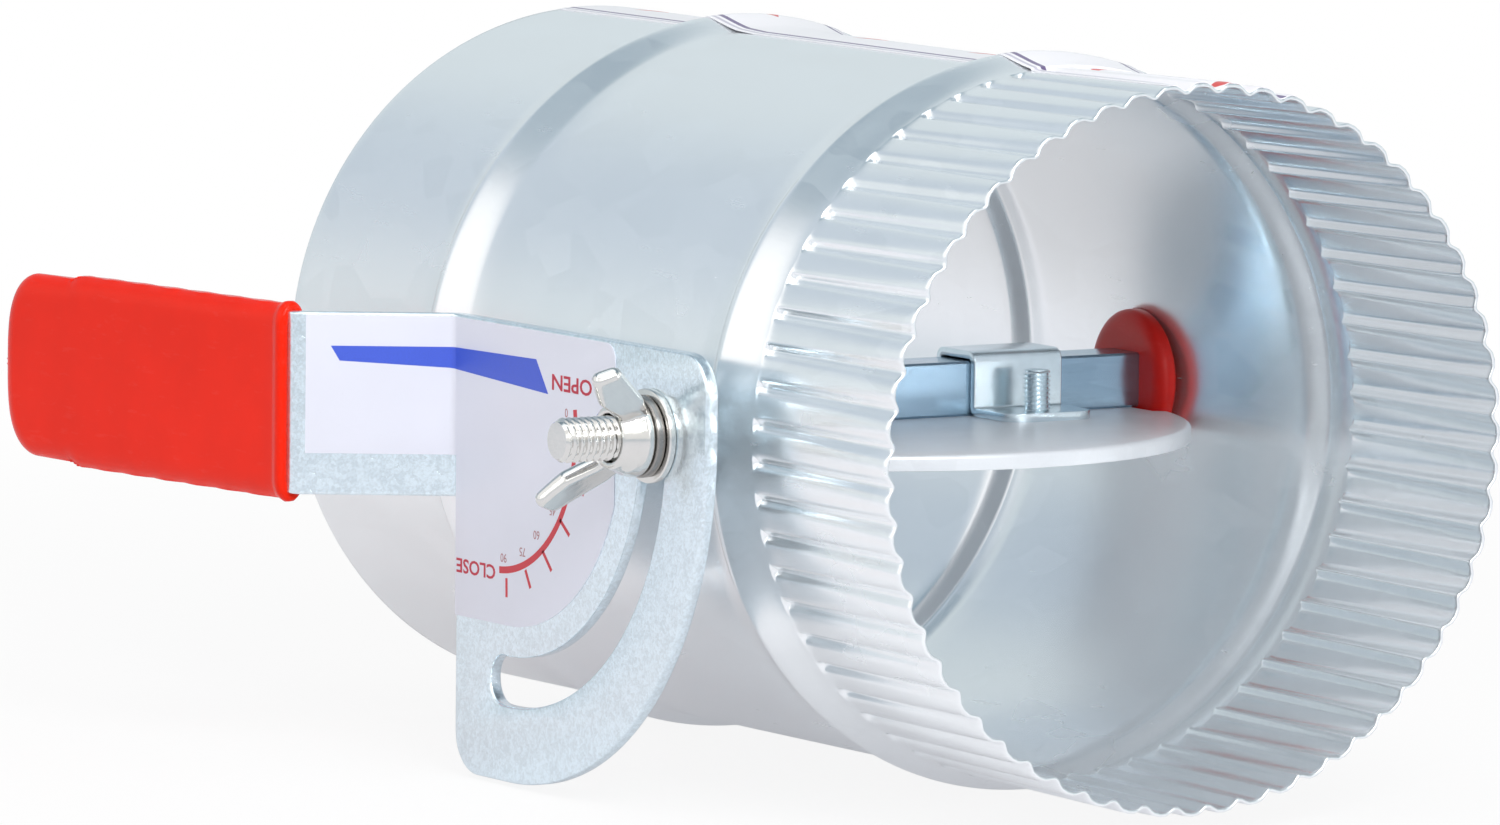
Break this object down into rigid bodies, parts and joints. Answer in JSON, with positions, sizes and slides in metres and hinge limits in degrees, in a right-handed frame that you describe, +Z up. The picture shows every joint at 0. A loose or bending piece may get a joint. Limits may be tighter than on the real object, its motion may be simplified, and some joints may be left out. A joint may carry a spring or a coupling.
{
  "type": "volume damper",
  "caption": "Short round duct section with a butterfly blade on a square shaft, turned by an outside lever whose arc slot is clamped by a wing nut.",
  "frame": {"origin": "centre of the plain end, on the duct's centre line", "axes": "+X along the duct towards the crimped end, +Z up, lever on the -Y side, blade shaft along Y"},
  "size_m": [0.2833, 0.2117, 0.1593],
  "materials": {
    "galvanised": "galvanised sheet, faint spangle",
    "duct_print": "white film",
    "bright_zinc": "bright zinc plate",
    "dark_steel": "dark spring steel",
    "nickel": "bright nickel plate",
    "zinc_bar": "bluish zinc plate",
    "red_nylon": "moulded red nylon",
    "blade_sheet": "smooth galvanised sheet",
    "lever_zinc": "zinc plate with spangle",
    "red_vinyl": "dipped vinyl, glossy",
    "scale_print": "white film with a printed scale"
  },
  "bodies": {
    "duct": {"duct_body": "galvanised", "duct_label": "duct_print", "clamp_bolt": "bright_zinc", "stud_nut": "bright_zinc", "flat_washer": "bright_zinc"},
    "damper": {"shaft": "zinc_bar", "near_bushing": "red_nylon", "far_bushing": "red_nylon", "near_spacer": "bright_zinc", "far_clip": "dark_steel", "blade": "blade_sheet", "near_strap": "bright_zinc", "far_strap": "bright_zinc", "near_screws": "bright_zinc", "far_screws": "bright_zinc", "screw_washers": "bright_zinc", "handle_lever": "lever_zinc", "handle_grip": "red_vinyl", "scale_label": "scale_print"},
    "lock_washer": {"spring_washer": "dark_steel"},
    "lock_nut": {"wing_nut": "nickel"}
  },
  "joints": [
    {"name": "damper_turn", "type": "hinge", "parent": "duct", "child": "damper", "pos_m": [0.1145, 0, 0], "axis": [0, -1, 0], "range_deg": [0, 90]},
    {"name": "wing_nut_travel", "type": "slide", "parent": "duct", "child": "lock_washer", "axis": [0, -1, 0], "range_m": [0, 0.0048]},
    {"name": "wing_nut_spin", "type": "hinge", "parent": "lock_washer", "child": "lock_nut", "pos_m": [0.173, 0, 0], "axis": [0, -1, 0], "range_deg": [0, 1080]}
  ],
  "couplings": [
    {"joint": "wing_nut_travel", "follows": "wing_nut_spin", "m_per_rad": 0.00025266}
  ]
}
